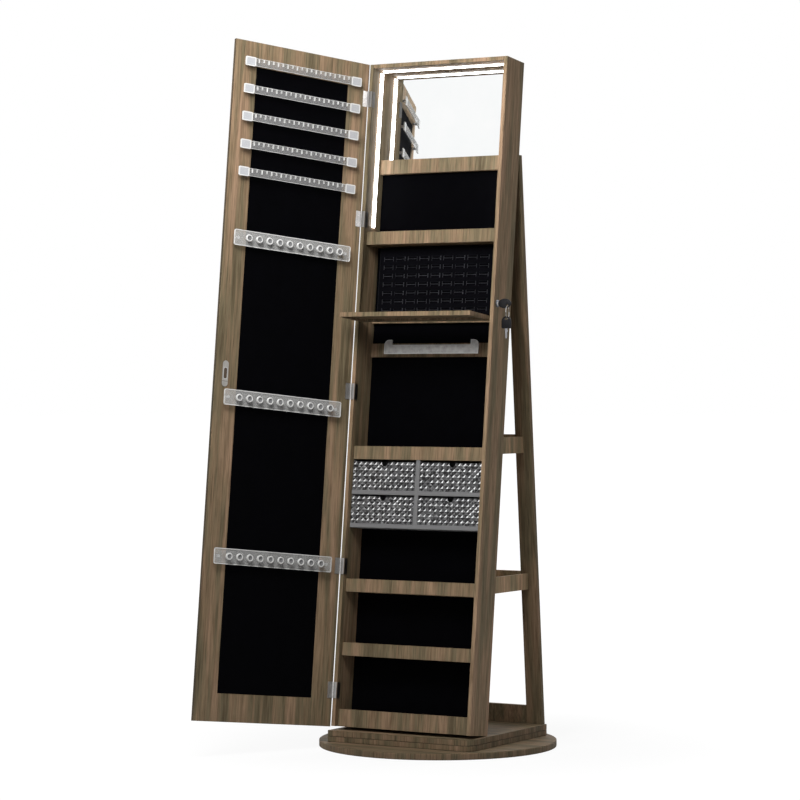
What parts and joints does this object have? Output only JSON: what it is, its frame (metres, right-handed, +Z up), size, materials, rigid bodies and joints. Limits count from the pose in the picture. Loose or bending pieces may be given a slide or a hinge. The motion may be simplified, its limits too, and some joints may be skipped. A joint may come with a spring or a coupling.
{
  "type": "jewelry armoire",
  "caption": "Leaning mirrored jewelry armoire on a turntable: hinged door, shelves, ring pad, fold-down flap, clear drawers, lit top and rear trays.",
  "frame": {"origin": "centre of the floor disc's underside, on the turntable's axis", "axes": "+Z up, -Y the cabinet's front, +X to the viewer's right when facing the front; the door is hinged on the -X side"},
  "size_m": [0.6012, 0.7589, 1.5764],
  "materials": {
    "wood": "matt foil over board, weathered grey-brown oak grain",
    "felt": "black flocked liner",
    "pad": "black velvet over foam",
    "mirror": "silvered glass",
    "acrylic": "clear acrylic",
    "housing": "grey satin",
    "light": "white diffuser, lit",
    "steel": "nickel plated",
    "chrome": "polished",
    "black_plastic": "satin moulded"
  },
  "bodies": {
    "floor_base": {"floor_disc": "wood", "bearing_lower_plate": "steel", "bearing_ball_ring": "steel"},
    "swivel": {"bearing_upper_plate": "steel", "base_lower_board": "wood", "base_upper_board": "wood", "rear_leg_left": "wood", "rear_leg_right": "wood", "rear_bottom_rail": "wood", "rear_top_rail": "wood", "rear_tray_lower": "wood", "rear_tray_upper": "wood", "side_panel_left": "wood", "side_panel_right": "wood", "top_panel": "wood", "bottom_panel": "wood", "back_panel": "wood", "back_liner": "felt", "inner_mirror": "mirror", "ledge_rail": "wood", "ring_rail": "wood", "bracelet_rail": "wood", "shelf_1": "wood", "shelf_2": "wood", "shelf_3": "wood", "shelf_4": "wood", "bottom_lip": "wood", "ring_cushion": "pad", "bracelet_bar": "acrylic", "drawer_housing": "housing", "led_strip_left": "light", "led_strip_right": "light", "led_strip_top": "light", "led_battery_box": "black_plastic", "lock_body": "chrome"},
    "door": {"door_panel": "wood", "door_felt": "felt", "door_mirror": "mirror", "strike_plate": "steel", "earring_bar_1": "acrylic", "earring_bar_2": "acrylic", "earring_bar_3": "acrylic", "earring_bar_4": "acrylic", "earring_bar_5": "acrylic", "necklace_bar_1": "acrylic", "necklace_bar_2": "acrylic", "necklace_bar_3": "acrylic", "hinge_1": "steel", "hinge_2": "steel", "hinge_3": "steel", "hinge_4": "steel", "hinge_5": "steel"},
    "flap": {"flap_board": "wood"},
    "drawer_upper_left": {"drawer_upper_left": "acrylic"},
    "drawer_upper_right": {"drawer_upper_right": "acrylic"},
    "drawer_lower_left": {"drawer_lower_left": "acrylic"},
    "drawer_lower_right": {"drawer_lower_right": "acrylic"},
    "key_in_lock": {"key_in_lock": "black_plastic"},
    "hanging_key": {"key_ring": "chrome", "spare_key": "black_plastic"}
  },
  "joints": [
    {"name": "base_swivel", "type": "hinge", "parent": "floor_base", "child": "swivel", "pos_m": [0, 0, 0.0146], "axis": [0, 0, 1], "continuous": true},
    {"name": "door_hinge", "type": "hinge", "parent": "swivel", "child": "door", "pos_m": [-0.1787, -0.08498, 0.79459], "axis": [0, -0.1127, -0.9936], "range_deg": [-30, 45]},
    {"name": "flap_hinge", "type": "hinge", "parent": "swivel", "child": "flap", "pos_m": [0, -0.05949, 0.95726], "axis": [-1, 0, 0], "range_deg": [0, 90]},
    {"name": "drawer_upper_left_slide", "type": "slide", "parent": "swivel", "child": "drawer_upper_left", "axis": [0, -0.9936, 0.1127], "range_m": [0, 0.04]},
    {"name": "drawer_upper_right_slide", "type": "slide", "parent": "swivel", "child": "drawer_upper_right", "axis": [0, -0.9936, 0.1127], "range_m": [0, 0.04]},
    {"name": "drawer_lower_left_slide", "type": "slide", "parent": "swivel", "child": "drawer_lower_left", "axis": [0, -0.9936, 0.1127], "range_m": [0, 0.04]},
    {"name": "drawer_lower_right_slide", "type": "slide", "parent": "swivel", "child": "drawer_lower_right", "axis": [0, -0.9936, 0.1127], "range_m": [0, 0.04]},
    {"name": "key_turn", "type": "hinge", "parent": "swivel", "child": "key_in_lock", "pos_m": [0.178, -0.04677, 0.98953], "axis": [1, 0, 0], "range_deg": [0, 90]},
    {"name": "spare_key_swing", "type": "hinge", "parent": "key_in_lock", "child": "hanging_key", "pos_m": [0.204, -0.04733, 0.98456], "axis": [-1, 0, 0], "range_deg": [-30, 30]}
  ]
}
